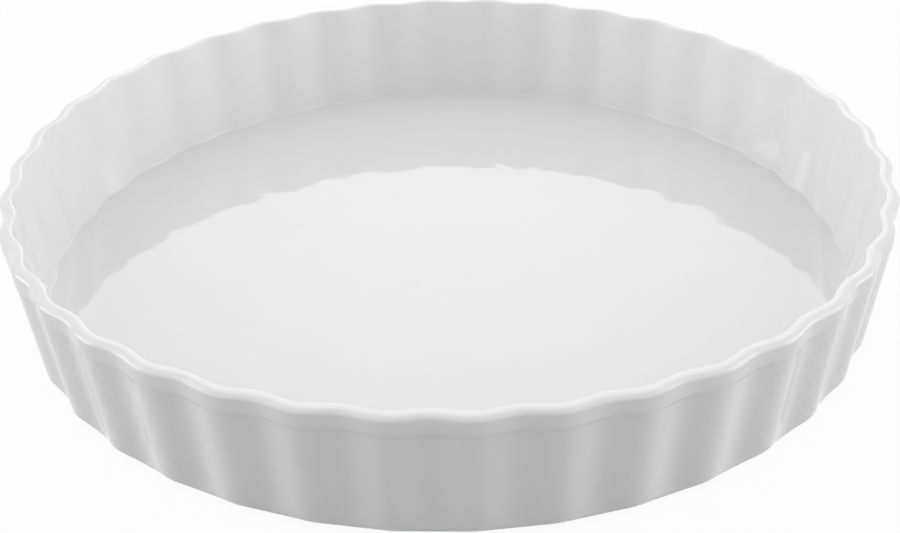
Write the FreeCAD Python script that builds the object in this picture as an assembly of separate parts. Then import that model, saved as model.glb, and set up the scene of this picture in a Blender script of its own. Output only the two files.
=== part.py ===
import FreeCAD, Part
import math
import os

# Fluted quiche dish of white porcelain: a fired body under a clear glaze, on an unglazed foot ring.
# Millimetres, +Z up. The origin is on the axis, in the plane that the dish stands on, with a crest on +X.

# Overall size
RIM_DIAMETER = 300.0  # over opposite crests of the collar, where the lip starts to round
HEIGHT = 46.0

# Wall
WALL_THICKNESS = 4.3  # measured level, at the rim
OUTSIDE_LEAN = 8.5  # degrees from upright
INSIDE_LEAN = 9.9
INSIDE_FLUTE_DEPTH = 1.3  # valley to crest inside the wall, under the rim
FLUTE_COUNT = 38

# Rim collar, a band that stands a little proud of the wall under it
COLLAR_HEIGHT = 6.8  # down to the middle of the soft step under it
COLLAR_LEAN = 3.0
COLLAR_FLUTE_DEPTH = 1.85  # valley to crest, outside and inside
COLLAR_CREST_STEP = 0.3  # overhang over the wall on a crest
COLLAR_VALLEY_STEP = 0.9  # overhang over the wall in a valley
COLLAR_BLEND = 2.4  # height of the soft step from the wall to the collar
COLLAR_FADE = 9.0  # height in which the deep flutes inside the collar turn into those of the wall

# Lip, rounded on both sides of a narrow level land
LIP_LAND = 0.9
LIP_INNER_RADIUS = 0.9
LIP_DROP = 1.7  # height of its long rounding on the outside

# Base
FLOOR_THICKNESS = 6.7
FLOOR_FILLET = 1.0
HEEL_WIDTH = 1.7  # of the rounding between the underside and the wall
HEEL_HEIGHT = 3.0
SLAB_MARGIN = 1.0  # flat floor left between the slab's edge and the fillet

# Foot ring
FOOT_HEIGHT = 0.8  # clear height under the base
FOOT_INSET = 5.0  # from the edge of the base
FOOT_WIDTH = 4.5
FOOT_ROUNDING = 0.5

# Glaze, and the smoothness of the flutes
GLAZE_THICKNESS = 0.3
SECTIONS_PER_FLUTE = 6

# Sizes that follow from those above
outside_lean = math.radians(OUTSIDE_LEAN)
inside_lean = math.radians(INSIDE_LEAN)
collar_lean = math.radians(COLLAR_LEAN)
rim_wave = COLLAR_FLUTE_DEPTH / 2
wall_wave = (COLLAR_FLUTE_DEPTH + COLLAR_VALLEY_STEP - COLLAR_CREST_STEP) / 2
inside_wave = INSIDE_FLUTE_DEPTH / 2

# Tangent length of a rounding of radius 1 between the inner face and a level face
inside_reach = math.tan(math.pi / 4 - inside_lean / 2)

# Levels of the finished faces, and of the body under the glaze
underside = FOOT_HEIGHT
floor = underside + FLOOR_THICKNESS
collar_bottom = HEIGHT - COLLAR_HEIGHT
body_underside = underside + GLAZE_THICKNESS
body_floor = floor - GLAZE_THICKNESS

# Mean radii of the collar's faces, carried up to the level of the lip
rim_radius = RIM_DIAMETER / 2 - rim_wave + LIP_DROP * math.tan(collar_lean)
inside_top_radius = rim_radius - WALL_THICKNESS


def collar_radius(height):
    """Mean radius of the outer face of the collar at a height."""
    return rim_radius - (HEIGHT - height) * math.tan(collar_lean)


def inside_radius(height):
    """Mean radius of the inner face at a height."""
    return inside_top_radius - (HEIGHT - height) * math.tan(inside_lean)


def wall_radius(height):
    """Mean radius of the outer face of the wall at a height."""
    return wall_top_radius - (collar_bottom - height) * math.tan(outside_lean)


wall_top_radius = collar_radius(collar_bottom) + rim_wave - COLLAR_CREST_STEP - wall_wave
slab_radius = inside_radius(floor) - FLOOR_FILLET * inside_reach - inside_wave - SLAB_MARGIN
foot_outer_radius = wall_radius(underside) - FOOT_INSET
foot_inner_radius = foot_outer_radius - FOOT_WIDTH


class Section:
    """The dish cut by a half plane through its axis, at an angle and at a depth under the finished face."""

    def __init__(self, angle, skin):
        self.out = FreeCAD.Vector(math.cos(angle), math.sin(angle), 0)
        self.wave = math.cos(FLUTE_COUNT * angle)
        self.skin = skin

    def point(self, radius, height, wave=0.0):
        """Point at a mean radius and a height, moved out or in by its share of the flutes."""
        return self.out * (radius + wave * self.wave) + FreeCAD.Vector(0, 0, height)

    def on_wall(self, height):
        """Point on the outer face of the wall."""
        return self.point(wall_radius(height) - self.skin / math.cos(outside_lean), height, wall_wave)

    def on_collar(self, height):
        """Point on the outer face of the rim collar."""
        return self.point(collar_radius(height) - self.skin / math.cos(collar_lean), height, rim_wave)

    def on_inside(self, height, wave):
        """Point on the inner face, where its flutes have a half depth of wave."""
        return self.point(inside_radius(height) + self.skin / math.cos(inside_lean), height, wave)

    def seam_inside(self):
        """Point on the inner face where the collar meets the wall."""
        return self.on_inside(collar_bottom, (rim_wave + inside_wave) / 2)

    def seam_outside(self):
        """Point in the middle of the soft step where the collar meets the wall."""
        return (self.on_wall(collar_bottom) + self.on_collar(collar_bottom)) / 2

    def outside(self, inner_radius):
        """Underside from inner_radius, the heel where the flutes run out, and the wall up to the collar."""
        level = underside + self.skin
        corner = self.on_wall(level)
        plain_corner = corner - self.out * wall_wave * self.wave
        start = plain_corner - self.out * (HEEL_WIDTH - self.skin)
        top = self.on_wall(underside + HEEL_HEIGHT)
        step_start = self.on_wall(collar_bottom - COLLAR_BLEND / 2)
        step_pull = self.on_wall(collar_bottom - COLLAR_BLEND / 4)
        return [
            line(self.point(inner_radius, level), start),
            rounding(start, plain_corner, top, corner),
            line(top, step_start),
            curve(step_start, step_pull, self.seam_outside()),
        ]

    def lip(self):
        """Outer face of the collar, the lip, and the inner face of the collar."""
        level = HEIGHT - self.skin
        step_pull = self.on_collar(collar_bottom + COLLAR_BLEND / 4)
        step_end = self.on_collar(collar_bottom + COLLAR_BLEND / 2)
        inner_corner = self.on_inside(level, rim_wave)
        inner_reach = (LIP_INNER_RADIUS - self.skin) * inside_reach
        land_start = inner_corner + self.out * inner_reach
        land_end = land_start + self.out * LIP_LAND
        outer_corner = self.on_collar(level)
        outer_start = self.on_collar(HEIGHT - LIP_DROP)
        inner_start = self.on_inside(level - inner_reach * math.cos(inside_lean), rim_wave)
        fade_start = self.on_inside(collar_bottom + COLLAR_FADE / 2, rim_wave)
        fade_pull = self.on_inside(collar_bottom + COLLAR_FADE / 4, rim_wave)
        return [
            curve(self.seam_outside(), step_pull, step_end),
            line(step_end, outer_start),
            rounding(outer_start, outer_corner, land_end),
            line(land_end, land_start),
            rounding(land_start, inner_corner, inner_start),
            line(inner_start, fade_start),
            curve(fade_start, fade_pull, self.seam_inside()),
        ]

    def inside(self):
        """Inner face from the collar down, the fillet, and the floor in to the slab's edge."""
        level = floor - self.skin
        reach = (FLOOR_FILLET + self.skin) * inside_reach
        fade_pull = self.on_inside(collar_bottom - COLLAR_FADE / 4, inside_wave)
        fade_end = self.on_inside(collar_bottom - COLLAR_FADE / 2, inside_wave)
        fillet_top = self.on_inside(level + reach * math.cos(inside_lean), inside_wave)
        corner = self.on_inside(level, inside_wave)
        fillet_end = corner - self.out * reach
        return [
            curve(self.seam_inside(), fade_pull, fade_end),
            line(fade_end, fillet_top),
            rounding(fillet_top, corner, fillet_end),
            line(fillet_end, self.point(slab_radius, level)),
        ]


def line(start, end):
    return Part.makeLine(start, end)


def curve(*poles):
    """Bezier edge on its poles."""
    bezier = Part.BezierCurve()
    bezier.setPoles(list(poles))
    return bezier.toShape()


def rounding(start, corner, end, end_corner=None):
    """Near-circular edge that rounds a corner; its end may aim at a corner of its own."""
    end_corner = end_corner or corner
    half_turn = (corner - start).getAngle(end - end_corner) / 2
    pull = 4 / 3 * math.tan(half_turn / 2) / math.tan(half_turn)
    return curve(start, start + (corner - start) * pull, end + (end_corner - end) * pull, end)


def backwards(edges):
    """The same path walked from its end to its start."""
    turned = []
    for edge in reversed(edges):
        poles = [vertex.Point for vertex in edge.Vertexes]
        if isinstance(edge.Curve, Part.BezierCurve):
            poles = edge.Curve.getPoles()
        turned.append(curve(*reversed(poles)))
    return turned


def fluted_ring(profile):
    """Solid ring through the closed profiles of every flute; the first is where the wave has no bend."""
    count = FLUTE_COUNT * SECTIONS_PER_FLUTE
    first = math.pi / 2 / FLUTE_COUNT
    wires = [Part.Wire(profile(first + 2 * math.pi * step / count)) for step in range(count)]
    return Part.makeLoft(wires, True, False, True)


def wall_profile(angle):
    cut = Section(angle, GLAZE_THICKNESS)
    top = [line(cut.seam_outside(), cut.seam_inside())]
    edge = [line(cut.point(slab_radius, body_floor), cut.point(slab_radius, body_underside))]
    return cut.outside(slab_radius) + top + cut.inside() + edge


def collar_profile(angle):
    cut = Section(angle, GLAZE_THICKNESS)
    seat = [line(cut.seam_inside(), cut.seam_outside())]
    return seat + cut.lip()


def glaze_profile(angle):
    face = Section(angle, 0)
    body = Section(angle, GLAZE_THICKNESS)
    paths = []
    for cut in (face, body):
        paths.append(cut.outside(foot_outer_radius) + cut.lip() + cut.inside())
    floor_end = [line(face.point(slab_radius, floor), body.point(slab_radius, body_floor))]
    foot_top = body.point(foot_outer_radius, body_underside)
    foot_end = [line(foot_top, face.point(foot_outer_radius, underside))]
    return paths[0] + floor_end + backwards(paths[1]) + foot_end


def disc(radius, bottom, top):
    return Part.makeCylinder(radius, top - bottom, FreeCAD.Vector(0, 0, bottom))


def make_foot_ring():
    """Unglazed ring that the dish stands on, rounded where it meets the table."""
    ring = disc(foot_outer_radius, 0, body_underside).cut(disc(foot_inner_radius, 0, body_underside))
    low_edges = [edge for edge in ring.Edges if edge.BoundBox.ZMax < FOOT_ROUNDING / 2]
    return ring.makeFillet(FOOT_ROUNDING, low_edges)


nodes = {
    "foot_ring": make_foot_ring(),
    "floor_slab": disc(slab_radius, body_underside, body_floor),
    "fluted_wall": fluted_ring(wall_profile),
    "rim_collar": fluted_ring(collar_profile),
    "wall_glaze": fluted_ring(glaze_profile),
    "floor_glaze": disc(slab_radius, body_floor, floor),
    "recess_glaze": disc(foot_inner_radius, underside, body_underside),
}

os.makedirs("parts", exist_ok=True)
for name, shape in nodes.items():
    shape.exportStep(f"parts/{name}.step")
    print(name, "solids", len(shape.Solids), "valid", shape.isValid(), "mm3", round(shape.Volume))
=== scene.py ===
import math
from typing import NamedTuple

import bmesh
import bpy
from bpy.props import FloatProperty, FloatVectorProperty, IntProperty, PointerProperty
from mathutils import Matrix, Vector


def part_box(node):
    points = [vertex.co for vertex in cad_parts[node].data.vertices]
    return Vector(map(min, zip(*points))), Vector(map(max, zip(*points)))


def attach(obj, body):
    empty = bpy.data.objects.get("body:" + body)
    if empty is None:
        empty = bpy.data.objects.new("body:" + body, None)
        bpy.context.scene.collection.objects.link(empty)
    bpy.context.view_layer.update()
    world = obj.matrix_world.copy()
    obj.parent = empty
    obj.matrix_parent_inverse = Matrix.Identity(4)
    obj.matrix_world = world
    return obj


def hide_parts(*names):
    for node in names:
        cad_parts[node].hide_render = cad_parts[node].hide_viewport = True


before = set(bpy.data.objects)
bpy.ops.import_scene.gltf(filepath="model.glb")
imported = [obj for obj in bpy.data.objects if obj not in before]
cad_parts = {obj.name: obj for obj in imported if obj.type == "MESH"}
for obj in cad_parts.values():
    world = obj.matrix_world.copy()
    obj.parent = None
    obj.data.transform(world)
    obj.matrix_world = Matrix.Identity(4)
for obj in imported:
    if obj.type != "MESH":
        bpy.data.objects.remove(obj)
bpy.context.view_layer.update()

bl_info = {
    "name": "Fluted quiche dish",
    "version": (1, 0, 0),
    "blender": (4, 5, 0),
    "location": "3D View > Sidebar > Quiche dish",
    "description": "Glaze, bare foot, biscuit and studio of a fluted porcelain quiche dish",
    "category": "Object",
}

BOX_MARGIN = 0.00003  # how far the glaze on the lip stays inside the CAD model's box, in metres

# The CAD model's box, and the places that the dressed pieces take from it
COAT_LOW, COAT_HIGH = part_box("wall_glaze")
FLOOR_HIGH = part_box("floor_glaze")[1]
RECESS_LOW, RECESS_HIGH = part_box("recess_glaze")
FOOT_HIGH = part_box("foot_ring")[1]
COLLAR_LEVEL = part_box("rim_collar")[0].z

RIM_RADIUS = COAT_HIGH.x - BOX_MARGIN
HEIGHT = COAT_HIGH.z
UNDERSIDE = COAT_LOW.z
FLOOR_LEVEL = FLOOR_HIGH.z
FLOOR_RADIUS = FLOOR_HIGH.x
FOOT_RADIUS = FOOT_HIGH.x
FOOT_TOP = FOOT_HIGH.z
RECESS_RADIUS = RECESS_HIGH.x
GLAZE_THICKNESS = RECESS_HIGH.z - RECESS_LOW.z

# Faces across each rounding
HEEL_FACES = 10
STEP_FACES = 4
OUTER_LIP_FACES = 12
INNER_LIP_FACES = 8
FILLET_FACES = 10
FOOT_FACES = 5

# Longest face up the wall or across the base, in metres, and faces round the plain pieces
FADE_FACE = 0.001
WALL_FACE = 0.006
RECESS_FACE = 0.012
RECESS_STEPS_PER_FLUTE = 4
FOOT_STEPS_PER_FLUTE = 6

MERGE_DISTANCE = 1e-6  # metres, within which two points are one
WHOLE_EDGES = 100.0  # per cent of the two edges that a rounding takes up
SHARP_ANGLE = math.radians(50.0)  # edges that turn by more stay sharp

# Glaze: places of painted shade under the collar's step and at the heel, and of a painted highlight on the
# lip, in metres
STEP_SHADE_DROP = 0.0004  # from the collar's level down to the middle of the painted shade under the step
STEP_SHADE_REACH = 0.0016
HEEL_SHADE_RISE = 0.0006  # from the underside up to the middle of the painted shade at the heel
HEEL_SHADE_REACH = 0.0022
HEEL_SHADE_WIDTH = 0.0345  # in under the base, from the rim's radius
# depth below the lip's top of the painted highlight
LIP_HIGHLIGHT_DEPTH = 0.0005

# Glaze: shares of the darker colour, for painted shade and for clouds
STEP_SHADE_SHARE = 0.2
HEEL_SHADE_SHARE = 0.4
CLOUD_SHARE = 0.35
CLEAR_SHARE = 0.1  # taken off again, so that faint clouds leave the glaze clear

# Glaze: clouds, haze and pinholes as features to the metre, and what they do
GLAZE_IOR = 1.52
CLOUD_SCALE = 55.0
CLOUD_DETAIL = 3.0
HAZE_SCALE = 140.0
HAZE_DETAIL = 4.0
HAZE_ROUGHNESS = 0.03
PINHOLE_SCALE = 900.0
PINHOLE_DETAIL = 1.0
PINHOLE_START = 0.79  # noise from which a pinhole begins
PINHOLE_FULL = 0.83
PINHOLE_TINT = 0.35
PINHOLE_ROUGHNESS = 0.12

# Glaze: ripples as features to the metre, detail and share of the depth
RIPPLES = ((42.0, 1.0, 1.0), (90.0, 1.0, 0.5), (260.0, 2.0, 0.06))
PINHOLE_DEPTH = 0.05
RING_DEPTH = 0.03

# Bare foot: grain and rubbed patches
PORCELAIN_IOR = 1.5
GRAIN_DETAIL = 3.0
GRAIN_ROUGHNESS = 0.6  # how much of the fine noise shows in the grain
FOOT_GRAIN_SCALE = 2600.0
FOOT_GRAIN_START = 0.3
FOOT_GRAIN_FULL = 0.8
FOOT_GRAIN_TINT = 0.35
FOOT_GRAIN_DEPTH = 0.00005
PATCH_SCALE = 70.0
PATCH_DETAIL = 4.0
PATCH_START = 0.48
PATCH_FULL = 0.72
PATCH_DEPTH = 0.4  # share of the grain's depth
RUB_HEIGHT = 0.0006  # up from the table
RUB_TINT = 0.45
RUB_SMOOTHING = 0.1
FOOT_ROUGHNESS = 0.62
FOOT_GRAIN_MATT = 0.2

# Biscuit: grain that gathers in clouds
BISCUIT_GRAIN_SCALE = 1800.0
BISCUIT_CLOUD_SCALE = 40.0
BISCUIT_TINT = 0.5
BISCUIT_ROUGHNESS = 0.7
BISCUIT_GRAIN_MATT = 0.15
BISCUIT_GRAIN_DEPTH = 0.00004

# Studio: the floor's half width in metres, and lamps by azimuth in degrees and by tiers
FLOOR_HALF_WIDTH = 4.0
FLOOR_SEGMENTS = 8
BACK_AZIMUTH = 180
BACK_TIERS = 3
SIDE_AZIMUTHS = (90, 270)
FRONT_AZIMUTHS = (45, 315)
FRONT_TIERS = 2
WHITE = (1.0, 1.0, 1.0, 1.0)


def length(name, description, default):
    """Property that holds a length in metres."""
    return FloatProperty(name=name, description=description, default=default, min=0.0, precision=5,
                         subtype="DISTANCE", unit="LENGTH")


def angle(name, description, degrees):
    """Property that holds an angle, given here in degrees."""
    return FloatProperty(name=name, description=description, default=math.radians(degrees),
                         subtype="ANGLE", unit="ROTATION")


def colour(name, description, default):
    """Property that holds a linear colour."""
    return FloatVectorProperty(name=name, description=description, default=default, min=0.0, max=1.0,
                               size=3, subtype="COLOR")


def share(name, description, default):
    """Property that holds a part of a whole."""
    return FloatProperty(name=name, description=description, default=default, min=0.0, max=1.0,
                         subtype="FACTOR")


def power(name, description, watts):
    """Property that holds the power of a lamp."""
    return FloatProperty(name=name, description=description, default=watts, min=0.0,
                         subtype="POWER", unit="POWER")


class DishForm(bpy.types.PropertyGroup):
    """Sizes of the finished dish that its boxes don't give."""

    flute_count: IntProperty(name="Flutes", description="Flutes round the wall", default=38, min=3)
    steps_per_flute: IntProperty(name="Steps per flute", description="Faces across one flute",
                                 default=16, min=4)
    outside_lean: angle("Outside lean", "Lean of the outer wall from upright", 8.5)
    inside_lean: angle("Inside lean", "Lean of the inner face from upright", 9.9)
    collar_lean: angle("Collar lean", "Lean of the collar's outer face from upright", 3.0)
    wall_thickness: length("Wall", "Level thickness of the wall at the rim", 0.0043)
    collar_wave: length("Collar wave", "Half the depth of the flutes on the collar", 0.000925)
    wall_wave: length("Wall wave", "Half the depth of the flutes on the outer wall", 0.001225)
    inside_wave: length("Inside wave", "Half the depth of the flutes inside the wall", 0.00065)
    collar_fade: length("Collar fade", "Height in which the inside flutes pass from collar to wall", 0.009)
    collar_crest_step: length("Crest step", "Overhang of the collar on a crest", 0.0003)
    collar_blend: length("Collar blend", "Height of the soft step from the wall to the collar", 0.0024)
    lip_land: length("Lip land", "Level top of the lip", 0.0009)
    lip_inner_radius: length("Inner lip radius", "Rounding of the lip on the inside", 0.0009)
    lip_drop: length("Lip drop", "Height of the lip's rounding on the outside", 0.0017)
    heel_width: length("Heel width", "Width of the rounding between the base and the wall", 0.0017)
    heel_height: length("Heel height", "Height of the rounding between the base and the wall", 0.003)
    floor_fillet: length("Floor fillet", "Rounding between the wall and the floor", 0.001)
    foot_rounding: length("Foot rounding", "Rounding of the foot ring at the table", 0.0005)


class DishFinish(bpy.types.PropertyGroup):
    """Colours of the glaze, the bare foot and the biscuit, and the gloss and ripple of the glaze."""

    glaze: colour("Glaze", "White glaze at its usual depth", (0.83, 0.83, 0.83))
    # darker glaze for clouds and for painted shade under the collar's step and at the heel
    cloud_and_shade_glaze: colour("Pooled glaze", "Glaze where it lies deep in a corner", (0.78, 0.78, 0.78))
    # lighter glaze for a painted highlight along the top of the lip
    lip_highlight_glaze: colour("Thin glaze", "Glaze where it runs thin on the lip", (0.855, 0.855, 0.855))
    glaze_roughness: share("Glaze roughness", "Least roughness of the glaze", 0.02)
    ripple_depth: length("Ripple depth", "Depth of the slow ripple in the glaze", 0.0002)
    ring_spacing: length("Ring spacing", "From one turning ring to the next under the base", 0.0045)
    bare_foot: colour("Bare foot", "Fired porcelain without glaze", (0.8, 0.77, 0.71))
    foot_rub: colour("Rubbed foot", "Grey marks that shelves leave on the foot", (0.55, 0.53, 0.5))
    biscuit: colour("Biscuit", "Porcelain body under the glaze", (0.84, 0.82, 0.78))
    biscuit_grain: colour("Biscuit grain", "Darker grain of the porcelain body", (0.74, 0.72, 0.68))


class DishStage(bpy.types.PropertyGroup):
    """Floor, lamps and camera."""

    floor: colour("Floor", "Pale floor under the dish", (0.9, 0.9, 0.9))
    floor_bounce: colour("Floor bounce", "Light that the floor throws back on the dish", (0.45, 0.45, 0.45))
    floor_white: share("White floor", "How far the floor is white to the camera, over its shadow", 0.93)
    ambient: share("Ambient", "Light from all round", 0.4)
    back_power: power("Back lamps", "Power of each lamp behind the dish", 4.35)
    side_power: power("High side lamps", "Power of the high lamp at each side", 6.5)
    low_side_power: power("Low side lamps", "Power of the low lamp at each side", 13.0)
    front_power: power("Front lamps", "Power of each lamp beside the camera", 2.65)
    lamp_elevation: angle("Lamp elevation", "Height of the lowest lamps, seen from the dish", 14.0)
    lamp_distance: length("Lamp distance", "From the dish to each lamp", 2.2)
    lamp_width: length("Lamp width", "Width of each lamp", 1.4)
    lamp_depth: length("Lamp depth", "Height of each lamp's face", 1.0)
    camera_azimuth: angle("Camera azimuth", "Camera's way round the dish from the front", 2.47)
    camera_elevation: angle("Camera elevation", "Camera's height, seen from the rim's centre", 27.10)
    camera_distance: length("Camera distance", "From the rim's centre to the camera", 0.5888)
    camera_pitch: angle("Camera pitch", "How far the camera looks down", 30.57)
    camera_roll: angle("Camera roll", "Tilt of the camera about its view", -1.32)
    lens: FloatProperty(name="Lens", description="Focal length on a 36 mm sensor", default=69.15, min=1.0,
                        subtype="DISTANCE_CAMERA", unit="CAMERA")


class Wire:
    """A value in a shader. Arithmetic on it adds Math nodes to the same shader."""

    def __init__(self, shader, socket):
        self.shader = shader
        self.socket = socket

    def math(self, operation, *values, clamp=False):
        """Math node on the given values."""
        return self.shader.node("ShaderNodeMath", {"operation": operation, "use_clamp": clamp},
                                dict(enumerate(values)))

    def __add__(self, other):
        return self.math("ADD", self, other)

    def __sub__(self, other):
        return self.math("SUBTRACT", self, other)

    def __rsub__(self, other):
        return self.math("SUBTRACT", other, self)

    def __mul__(self, other):
        return self.math("MULTIPLY", self, other)

    def __truediv__(self, other):
        return self.math("DIVIDE", self, other)

    __radd__ = __add__
    __rmul__ = __mul__

    def __abs__(self):
        return self.math("ABSOLUTE", self)

    def sqrt(self):
        return self.math("SQRT", self)

    def cos(self):
        return self.math("COSINE", self)

    def clamped(self):
        """The value held between 0 and 1."""
        return self.math("ADD", self, 0.0, clamp=True)

    def above(self, limit):
        """1 where the value is above the limit, and 0 elsewhere."""
        return self.math("GREATER_THAN", self, limit)

    def near(self, centre, reach):
        """1 at the centre, falling to 0 at the reach on both sides of it."""
        return (1 - abs(self - centre) / reach).clamped()

    def rising(self, start, end):
        """0 up to start, 1 from end."""
        return ((self - start) / (end - start)).clamped()


class Shader:
    """A node tree, with one way to add and link its nodes."""

    def __init__(self, tree):
        self.tree = tree
        tree.nodes.clear()

    def node(self, kind, settings=None, sockets=None, output=0):
        """Adds a node, sets it up, fills or links its sockets and returns one of its outputs."""
        node = self.tree.nodes.new(kind)
        for name, value in (settings or {}).items():
            setattr(node, name, value)
        for key, value in (sockets or {}).items():
            if isinstance(value, Wire):
                self.tree.links.new(value.socket, node.inputs[key])
            else:
                node.inputs[key].default_value = value
        return Wire(self, node.outputs[output])

    def position(self):
        """Place on the piece as a vector and as x, y and z."""
        place = self.node("ShaderNodeTexCoord", output="Object")
        axes = [self.node("ShaderNodeSeparateXYZ", sockets={0: place}, output=axis) for axis in range(3)]
        return place, axes

    def noise(self, place, scale, detail=2.0, roughness=0.5):
        """Cloudy value from 0 to 1, with scale features to the metre."""
        sockets = {"Vector": place, "Scale": scale, "Detail": detail, "Roughness": roughness}
        return self.node("ShaderNodeTexNoise", sockets=sockets)

    def mix(self, factor, first, second):
        """Colour between the first and the second."""
        sockets = {0: factor, 6: first, 7: second}
        return self.node("ShaderNodeMix", {"data_type": "RGBA"}, sockets, output=2)

    def bump(self, height, depth):
        """Normal of a surface whose height changes by depth in metres."""
        return self.node("ShaderNodeBump", sockets={"Height": height, "Distance": depth, "Strength": 1.0})

    def shown(self):
        """1 for what the camera sees, in reflections and through glass too, and 0 for light on things."""
        rays = ("Is Camera Ray", "Is Glossy Ray", "Is Transmission Ray")
        camera, glossy, transmission = [self.node("ShaderNodeLightPath", output=ray) for ray in rays]
        return (camera + glossy + transmission).clamped()

    def surface(self, **sockets):
        """Principled surface; a name's underscores stand for spaces."""
        named = {key.replace("_", " "): value for key, value in sockets.items()}
        self.output(self.node("ShaderNodeBsdfPrincipled", sockets=named), "ShaderNodeOutputMaterial")

    def output(self, shading, kind):
        """Ends the tree in an output of the given kind."""
        target = self.tree.nodes.new(kind)
        self.tree.links.new(shading.socket, target.inputs["Surface"])


def opaque(colour_value):
    """A colour property as a socket's four values."""
    return (*colour_value, 1.0)


def new_material(name):
    """Material with an empty tree, and the shader that fills it."""
    material = bpy.data.materials.new(name)
    material.use_nodes = True
    return material, Shader(material.node_tree)


def glaze_material(name, form, finish, ringed=False):
    """Glossy glaze with painted shade under the collar's step and at the heel, a painted highlight along
    the top of the lip, clouds, a slow ripple and rare pinholes.
    """
    material, shader = new_material(name)
    place, (x, y, z) = shader.position()
    radius = (x * x + y * y).sqrt()
    around = x.math("ARCTAN2", y, x)
    valley = 0.5 - (around * form.flute_count).cos() * 0.5

    # painted shade under the collar's step, darkest in the valleys
    step_shade = z.near(COLLAR_LEVEL - STEP_SHADE_DROP, STEP_SHADE_REACH) * valley
    # painted shade on the heel and the base's outer underside, where the dish meets the table
    heel_shade_side = radius.above(RIM_RADIUS - HEEL_SHADE_WIDTH)
    heel_shade = z.near(UNDERSIDE + HEEL_SHADE_RISE, HEEL_SHADE_REACH) * heel_shade_side
    clouds = CLOUD_SHARE * shader.noise(place, CLOUD_SCALE, CLOUD_DETAIL) - CLEAR_SHARE
    shade_and_clouds = (STEP_SHADE_SHARE * step_shade + HEEL_SHADE_SHARE * heel_shade + clouds).clamped()
    # painted highlight: lighter glaze along the top of the lip
    lip_highlight = z.rising(HEIGHT - LIP_HIGHLIGHT_DEPTH, HEIGHT)
    pinhole = shader.noise(place, PINHOLE_SCALE, PINHOLE_DETAIL).rising(PINHOLE_START, PINHOLE_FULL)
    # the darker colour gives clouds and painted shade, the lighter one a painted highlight on the lip
    tint = shader.mix(shade_and_clouds, opaque(finish.glaze), opaque(finish.cloud_and_shade_glaze))
    tint = shader.mix(lip_highlight, tint, opaque(finish.lip_highlight_glaze))
    tint = shader.mix(pinhole * PINHOLE_TINT, tint, opaque(finish.foot_rub))

    haze = HAZE_ROUGHNESS * shader.noise(place, HAZE_SCALE, HAZE_DETAIL)
    gloss = finish.glaze_roughness + haze + PINHOLE_ROUGHNESS * pinhole
    ripple = sum(depth * shader.noise(place, scale, detail) for scale, detail, depth in RIPPLES)
    ripple = ripple - PINHOLE_DEPTH * pinhole
    if ringed:
        ripple = ripple + RING_DEPTH * (radius * (math.tau / finish.ring_spacing)).cos()
    normal = shader.bump(ripple, finish.ripple_depth)
    shader.surface(Base_Color=tint, Roughness=gloss, IOR=GLAZE_IOR, Normal=normal)
    return material


def bare_foot_material(finish):
    """Unglazed porcelain: fine matt grain, rubbed grey where it has stood on shelves."""
    material, shader = new_material("bare_porcelain")
    place, (_, _, z) = shader.position()
    grain = shader.noise(place, FOOT_GRAIN_SCALE, GRAIN_DETAIL, GRAIN_ROUGHNESS)
    patches = shader.noise(place, PATCH_SCALE, PATCH_DETAIL, GRAIN_ROUGHNESS)
    rub = (1 - z.rising(0.0, RUB_HEIGHT)) * patches.rising(PATCH_START, PATCH_FULL)
    dark_grain = grain.rising(FOOT_GRAIN_START, FOOT_GRAIN_FULL) * FOOT_GRAIN_TINT
    tint = shader.mix(dark_grain, opaque(finish.bare_foot), opaque(finish.biscuit_grain))
    tint = shader.mix(rub * RUB_TINT, tint, opaque(finish.foot_rub))
    rough = FOOT_ROUGHNESS + FOOT_GRAIN_MATT * grain - RUB_SMOOTHING * rub
    normal = shader.bump(grain + PATCH_DEPTH * patches, FOOT_GRAIN_DEPTH)
    shader.surface(Base_Color=tint, Roughness=rough, IOR=PORCELAIN_IOR, Normal=normal)
    return material


def biscuit_material(finish):
    """Porcelain body under the glaze: dense, even and fine grained."""
    material, shader = new_material("biscuit_porcelain")
    place, _ = shader.position()
    grain = shader.noise(place, BISCUIT_GRAIN_SCALE, GRAIN_DETAIL, GRAIN_ROUGHNESS)
    clouds = shader.noise(place, BISCUIT_CLOUD_SCALE, CLOUD_DETAIL)
    tint = shader.mix(BISCUIT_TINT * grain * clouds, opaque(finish.biscuit), opaque(finish.biscuit_grain))
    rough = BISCUIT_ROUGHNESS + BISCUIT_GRAIN_MATT * grain
    normal = shader.bump(grain, BISCUIT_GRAIN_DEPTH)
    shader.surface(Base_Color=tint, Roughness=rough, IOR=PORCELAIN_IOR, Normal=normal)
    return material


def floor_material(stage):
    """Pale floor that is white to the camera and keeps the shadow of the dish."""
    material, shader = new_material("pale_floor")
    shown = shader.shown()
    pale = shader.mix(shown, opaque(stage.floor_bounce), opaque(stage.floor))
    lit = shader.node("ShaderNodeBsdfDiffuse", sockets={"Color": pale})
    white = shader.node("ShaderNodeEmission", sockets={"Color": WHITE, "Strength": 1.0})
    seen = shader.node("ShaderNodeMixShader", sockets={0: shown * stage.floor_white, 1: lit, 2: white})
    shader.output(seen, "ShaderNodeOutputMaterial")
    return material


def even_share(start, end, value):
    """0 up to start, 1 from end, and a straight rise between them."""
    return min(max((value - start) / (end - start), 0.0), 1.0)


def smooth_share(start, end, value):
    """0 up to start, 1 from end, and a soft rise between them."""
    part = even_share(start, end, value)
    return part * part * (3 - 2 * part)


class Corner(NamedTuple):
    """Corner of an outline: its place, the reach of its rounding along its edges, and the faces of that."""

    radius: float
    height: float
    reach: float = 0.0
    faces: int = 0


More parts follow.
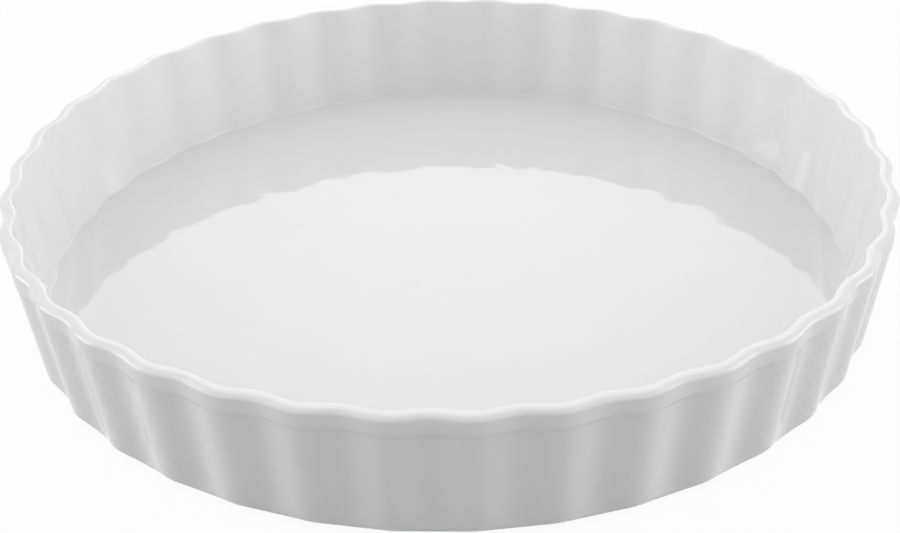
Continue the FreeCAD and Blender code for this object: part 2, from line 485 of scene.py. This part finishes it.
class Outline:
    """Half section of the finished dish: mean radii and heights, before the flutes move them."""

    def __init__(self, form):
        self.form = form
        inside_reach = math.tan(math.pi / 4 - form.inside_lean / 2)
        self.lip_inner_reach = form.lip_inner_radius * inside_reach
        self.fillet_reach = form.floor_fillet * inside_reach
        self.collar_top = RIM_RADIUS - form.collar_wave + form.lip_drop * math.tan(form.collar_lean)
        self.inside_top = self.collar_top - form.wall_thickness
        self.land_end = self.inside_top + self.lip_inner_reach + form.lip_land
        self.lip_low = HEIGHT - form.lip_drop
        collar_crest = self.collar(COLLAR_LEVEL) + form.collar_wave
        self.wall_top = collar_crest - form.collar_crest_step - form.wall_wave
        self.heel_start = self.wall(UNDERSIDE) - form.heel_width
        self.heel_top = UNDERSIDE + form.heel_height
        self.heel_end = self.wall(self.heel_top)
        self.blend_reach = form.collar_blend / 4
        self.step_low = COLLAR_LEVEL - self.blend_reach
        self.step_high = COLLAR_LEVEL + self.blend_reach
        self.fade_high = COLLAR_LEVEL + form.collar_fade / 2
        self.fade_low = COLLAR_LEVEL - form.collar_fade / 2
        self.fillet_end = self.inside(FLOOR_LEVEL) - self.fillet_reach

    def wall(self, height):
        return self.wall_top - (COLLAR_LEVEL - height) * math.tan(self.form.outside_lean)

    def collar(self, height):
        return self.collar_top - (HEIGHT - height) * math.tan(self.form.collar_lean)

    def inside(self, height):
        return self.inside_top - (HEIGHT - height) * math.tan(self.form.inside_lean)

    def corners(self):
        """Corners from the foot over the lip to the middle of the floor."""
        return [
            Corner(FOOT_RADIUS, UNDERSIDE),
            Corner(self.heel_start, UNDERSIDE),
            Corner(self.wall(UNDERSIDE), UNDERSIDE, WHOLE_EDGES, HEEL_FACES),
            Corner(self.heel_end, self.heel_top),
            Corner(self.wall(self.step_low), self.step_low, self.blend_reach, STEP_FACES),
            Corner(self.collar(self.step_high), self.step_high, self.blend_reach, STEP_FACES),
            Corner(self.collar(self.lip_low), self.lip_low),
            Corner(self.collar_top, HEIGHT, WHOLE_EDGES, OUTER_LIP_FACES),
            Corner(self.land_end, HEIGHT),
            Corner(self.inside_top, HEIGHT, self.lip_inner_reach, INNER_LIP_FACES),
            Corner(self.inside(self.fade_high), self.fade_high),
            Corner(self.inside(self.fade_low), self.fade_low),
            Corner(self.inside(FLOOR_LEVEL), FLOOR_LEVEL, self.fillet_reach, FILLET_FACES),
            Corner(FLOOR_RADIUS, FLOOR_LEVEL),
            Corner(0.0, FLOOR_LEVEL),
        ]

    def wave(self, radius, height):
        """How far a crest stands out from the mean at a point of the outline."""
        form = self.form
        middle = (self.wall(height) + self.inside(height)) / 2
        if radius > middle or height < FLOOR_LEVEL - MERGE_DISTANCE:
            heel_turn = math.asin(even_share(self.heel_start, self.heel_end, radius)) / (math.pi / 2)
            step = smooth_share(self.step_low - self.blend_reach, self.step_high + self.blend_reach, height)
            wall_wave = form.wall_wave * smooth_share(0.0, 1.0, heel_turn)
            return wall_wave + (form.collar_wave - form.wall_wave) * step
        rise = smooth_share(self.fade_low, self.fade_high, height)
        wave = form.inside_wave + (form.collar_wave - form.inside_wave) * rise
        return wave * smooth_share(FLOOR_RADIUS, self.fillet_end, radius)


def draw_chain(mesh, corners, closed=False):
    """Chain of edges through corners in the XZ plane, each rounded by its reach or along both edges."""
    verts = [mesh.verts.new((corner.radius, 0.0, corner.height)) for corner in corners]
    for first, second in zip(verts, verts[1:]):
        mesh.edges.new((first, second))
    if closed:
        mesh.edges.new((verts[-1], verts[0]))
    for vert, corner in zip(verts, corners):
        if corner.faces:
            kind = "PERCENT" if corner.reach == WHOLE_EDGES else "OFFSET"
            bmesh.ops.bevel(mesh, geom=[vert], offset=corner.reach, offset_type=kind,
                            segments=corner.faces, profile=0.5, affect="VERTICES", material=-1)
    bmesh.ops.remove_doubles(mesh, verts=mesh.verts[:], dist=MERGE_DISTANCE)


def divide(mesh, longest, low, high, least_radius):
    """Cuts the chain's edges between two heights into stretches no longer than the given length."""
    for edge in mesh.edges[:]:
        heights = [vert.co.z for vert in edge.verts]
        radii = [vert.co.x for vert in edge.verts]
        if min(heights) >= low and max(heights) <= high and min(radii) >= least_radius:
            cuts = math.ceil(edge.calc_length() / longest) - 1
            if cuts > 0:
                bmesh.ops.subdivide_edges(mesh, edges=[edge], cuts=cuts)


def spin_round(mesh, steps):
    """Spins the chain round the axis into one surface, with all its faces turned the same way."""
    bmesh.ops.spin(mesh, geom=mesh.verts[:] + mesh.edges[:], cent=(0.0, 0.0, 0.0), axis=(0.0, 0.0, 1.0),
                   dvec=(0.0, 0.0, 0.0), angle=math.tau, steps=steps, use_merge=True, use_duplicate=False)
    bmesh.ops.remove_doubles(mesh, verts=mesh.verts[:], dist=MERGE_DISTANCE)
    bmesh.ops.recalc_face_normals(mesh, faces=mesh.faces[:])


def add_piece(mesh, name, material, slot, *nodes):
    """Turns the modelled mesh into a piece of the dish that stands for its CAD nodes."""
    data = bpy.data.meshes.new(name)
    mesh.to_mesh(data)
    mesh.free()
    data.materials.append(material)
    data.shade_smooth()
    data.set_sharp_from_angle(angle=SHARP_ANGLE)
    piece = bpy.data.objects.new(name, data)
    bpy.context.scene.collection.objects.link(piece)
    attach(piece, "root")
    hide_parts(*nodes)


class DISH_OT_glaze_coat(bpy.types.Operator):
    """Adds the glaze from the foot up the fluted wall, over the lip and across the floor"""

    bl_idname = "dish.glaze_coat"
    bl_label = "Glaze coat"

    def execute(self, context):
        form = context.scene.dish_form
        outline = Outline(form)
        mesh = bmesh.new()
        draw_chain(mesh, outline.corners())
        fade_low = outline.fade_low - MERGE_DISTANCE
        fade_high = outline.fade_high + MERGE_DISTANCE
        divide(mesh, FADE_FACE, fade_low, fade_high, FLOOR_RADIUS)
        divide(mesh, WALL_FACE, UNDERSIDE, HEIGHT, FLOOR_RADIUS)
        layer = mesh.verts.layers.float.new("wave")
        for vert in mesh.verts:
            vert[layer] = outline.wave(vert.co.x, vert.co.z)
        spin_round(mesh, form.flute_count * form.steps_per_flute)
        for vert in mesh.verts:
            if vert[layer]:
                around = math.atan2(vert.co.y, vert.co.x)
                grown = 1 + vert[layer] * math.cos(form.flute_count * around) / vert.co.xy.length
                vert.co.xy *= grown
        mesh.verts.layers.float.remove(layer)
        mesh.normal_update()
        bmesh.ops.solidify(mesh, geom=mesh.faces[:], thickness=GLAZE_THICKNESS)
        material = glaze_material("white_glaze", form, context.scene.dish_finish)
        add_piece(mesh, "glaze_coat", material, "glaze", "wall_glaze", "floor_glaze")
        return {"FINISHED"}


class DISH_OT_recess_glaze(bpy.types.Operator):
    """Adds the glaze in the shallow recess inside the foot ring"""

    bl_idname = "dish.recess_glaze"
    bl_label = "Recess glaze"

    def execute(self, context):
        form = context.scene.dish_form
        mesh = bmesh.new()
        draw_chain(mesh, [Corner(RECESS_RADIUS, UNDERSIDE), Corner(0.0, UNDERSIDE)])
        divide(mesh, RECESS_FACE, 0.0, HEIGHT, 0.0)
        spin_round(mesh, form.flute_count * RECESS_STEPS_PER_FLUTE)
        if mesh.faces[:][0].normal.z > 0:
            bmesh.ops.reverse_faces(mesh, faces=mesh.faces[:])
        bmesh.ops.solidify(mesh, geom=mesh.faces[:], thickness=GLAZE_THICKNESS)
        material = glaze_material("recess_glaze", form, context.scene.dish_finish, ringed=True)
        add_piece(mesh, "recess_glaze_coat", material, "glaze", "recess_glaze")
        return {"FINISHED"}


class DISH_OT_foot(bpy.types.Operator):
    """Adds the bare ring that the dish stands on"""

    bl_idname = "dish.foot"
    bl_label = "Bare foot ring"

    def execute(self, context):
        form = context.scene.dish_form
        mesh = bmesh.new()
        corners = [
            Corner(FOOT_RADIUS, FOOT_TOP),
            Corner(FOOT_RADIUS, 0.0, form.foot_rounding, FOOT_FACES),
            Corner(RECESS_RADIUS, 0.0, form.foot_rounding, FOOT_FACES),
            Corner(RECESS_RADIUS, FOOT_TOP),
        ]
        draw_chain(mesh, corners, closed=True)
        spin_round(mesh, form.flute_count * FOOT_STEPS_PER_FLUTE)
        material = bare_foot_material(context.scene.dish_finish)
        add_piece(mesh, "bare_foot_ring", material, "bare_foot", "foot_ring")
        return {"FINISHED"}


class DISH_OT_biscuit(bpy.types.Operator):
    """Gives the porcelain body under the glaze its finish"""

    bl_idname = "dish.biscuit"
    bl_label = "Biscuit body"

    def execute(self, context):
        material = biscuit_material(context.scene.dish_finish)
        for name in ("floor_slab", "fluted_wall", "rim_collar"):
            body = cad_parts[name]
            body.data.materials.clear()
            body.data.materials.append(material)
        return {"FINISHED"}


def add_floor(stage):
    """Wide pale floor under the dish."""
    mesh = bmesh.new()
    bmesh.ops.create_grid(mesh, x_segments=FLOOR_SEGMENTS, y_segments=FLOOR_SEGMENTS, size=FLOOR_HALF_WIDTH)
    data = bpy.data.meshes.new("studio_floor")
    mesh.to_mesh(data)
    mesh.free()
    data.materials.append(floor_material(stage))
    floor = bpy.data.objects.new("studio_floor", data)
    bpy.context.scene.collection.objects.link(floor)


def add_lamp(stage, azimuth, tier, watts):
    """Soft rectangular lamp at an azimuth in degrees, 0 at the front; each tier meets the one under it."""
    name = f"lamp_{azimuth}_{tier}"
    data = bpy.data.lights.new(name, "AREA")
    data.shape = "RECTANGLE"
    data.size = stage.lamp_width
    data.size_y = stage.lamp_depth
    data.energy = watts
    lamp = bpy.data.objects.new(name, data)
    tier_height = 2 * math.atan(stage.lamp_depth / 2 / stage.lamp_distance)
    elevation = stage.lamp_elevation + tier * tier_height
    round_dish = Matrix.Rotation(math.radians(azimuth), 4, "Z")
    look_down = Matrix.Rotation(math.pi / 2 - elevation, 4, "X")
    lamp.matrix_world = round_dish @ look_down @ Matrix.Translation((0.0, 0.0, stage.lamp_distance))
    lamp.visible_camera = False
    bpy.context.scene.collection.objects.link(lamp)


def light_world(stage):
    """White to the camera and in reflections, with a little light from all round."""
    world = bpy.data.worlds.new("studio_world")
    world.use_nodes = True
    bpy.context.scene.world = world
    shader = Shader(world.node_tree)
    strength = stage.ambient + (1 - stage.ambient) * shader.shown()
    sky = shader.node("ShaderNodeBackground", sockets={"Color": WHITE, "Strength": strength})
    shader.output(sky, "ShaderNodeOutputWorld")


def add_camera(stage):
    """Camera at the photographed angle, placed round the centre of the rim."""
    data = bpy.data.cameras.new("camera")
    data.lens = stage.lens
    camera = bpy.data.objects.new("camera", data)
    level = math.cos(stage.camera_elevation) * stage.camera_distance
    place = Vector((0.0, -level, HEIGHT + math.sin(stage.camera_elevation) * stage.camera_distance))
    round_dish = Matrix.Rotation(stage.camera_azimuth, 4, "Z")
    look_down = Matrix.Rotation(math.pi / 2 - stage.camera_pitch, 4, "X")
    roll = Matrix.Rotation(stage.camera_roll, 4, "Z")
    camera.matrix_world = round_dish @ Matrix.Translation(place) @ look_down @ roll
    bpy.context.scene.collection.objects.link(camera)
    bpy.context.scene.camera = camera


class DISH_OT_stage(bpy.types.Operator):
    """Adds the pale floor, the soft lamps and the camera"""

    bl_idname = "dish.stage"
    bl_label = "Studio"

    def execute(self, context):
        stage = context.scene.dish_stage
        add_floor(stage)
        for tier in range(BACK_TIERS):
            add_lamp(stage, BACK_AZIMUTH, tier, stage.back_power)
        for azimuth in SIDE_AZIMUTHS:
            add_lamp(stage, azimuth, 0, stage.low_side_power)
            add_lamp(stage, azimuth, 1, stage.side_power)
        for azimuth in FRONT_AZIMUTHS:
            for tier in range(FRONT_TIERS):
                add_lamp(stage, azimuth, tier, stage.front_power)
        light_world(stage)
        add_camera(stage)
        context.scene.view_settings.view_transform = "Standard"
        return {"FINISHED"}


class DISH_PT_panel(bpy.types.Panel):
    """Lists the sizes, the finishes and the steps that dress the dish"""

    bl_idname = "DISH_PT_panel"
    bl_label = "Fluted quiche dish"
    bl_space_type = "VIEW_3D"
    bl_region_type = "UI"
    bl_category = "Quiche dish"

    def draw(self, context):
        for group in (context.scene.dish_form, context.scene.dish_finish, context.scene.dish_stage):
            box = self.layout.box()
            for name in group.__annotations__:
                box.prop(group, name)
        for step in STEPS:
            self.layout.operator(step.bl_idname)


GROUPS = {"dish_form": DishForm, "dish_finish": DishFinish, "dish_stage": DishStage}
STEPS = (DISH_OT_glaze_coat, DISH_OT_recess_glaze, DISH_OT_foot, DISH_OT_biscuit, DISH_OT_stage)


def register():
    for group in GROUPS.values():
        bpy.utils.register_class(group)
    for name, group in GROUPS.items():
        setattr(bpy.types.Scene, name, PointerProperty(type=group))
    for step in STEPS:
        bpy.utils.register_class(step)
    bpy.utils.register_class(DISH_PT_panel)


def unregister():
    bpy.utils.unregister_class(DISH_PT_panel)
    for step in reversed(STEPS):
        bpy.utils.unregister_class(step)
    for name in GROUPS:
        delattr(bpy.types.Scene, name)
    for group in GROUPS.values():
        bpy.utils.unregister_class(group)


def main():
    register()
    bpy.ops.dish.glaze_coat()
    bpy.ops.dish.recess_glaze()
    bpy.ops.dish.foot()
    bpy.ops.dish.biscuit()
    bpy.ops.dish.stage()


if __name__ == "__main__":
    main()
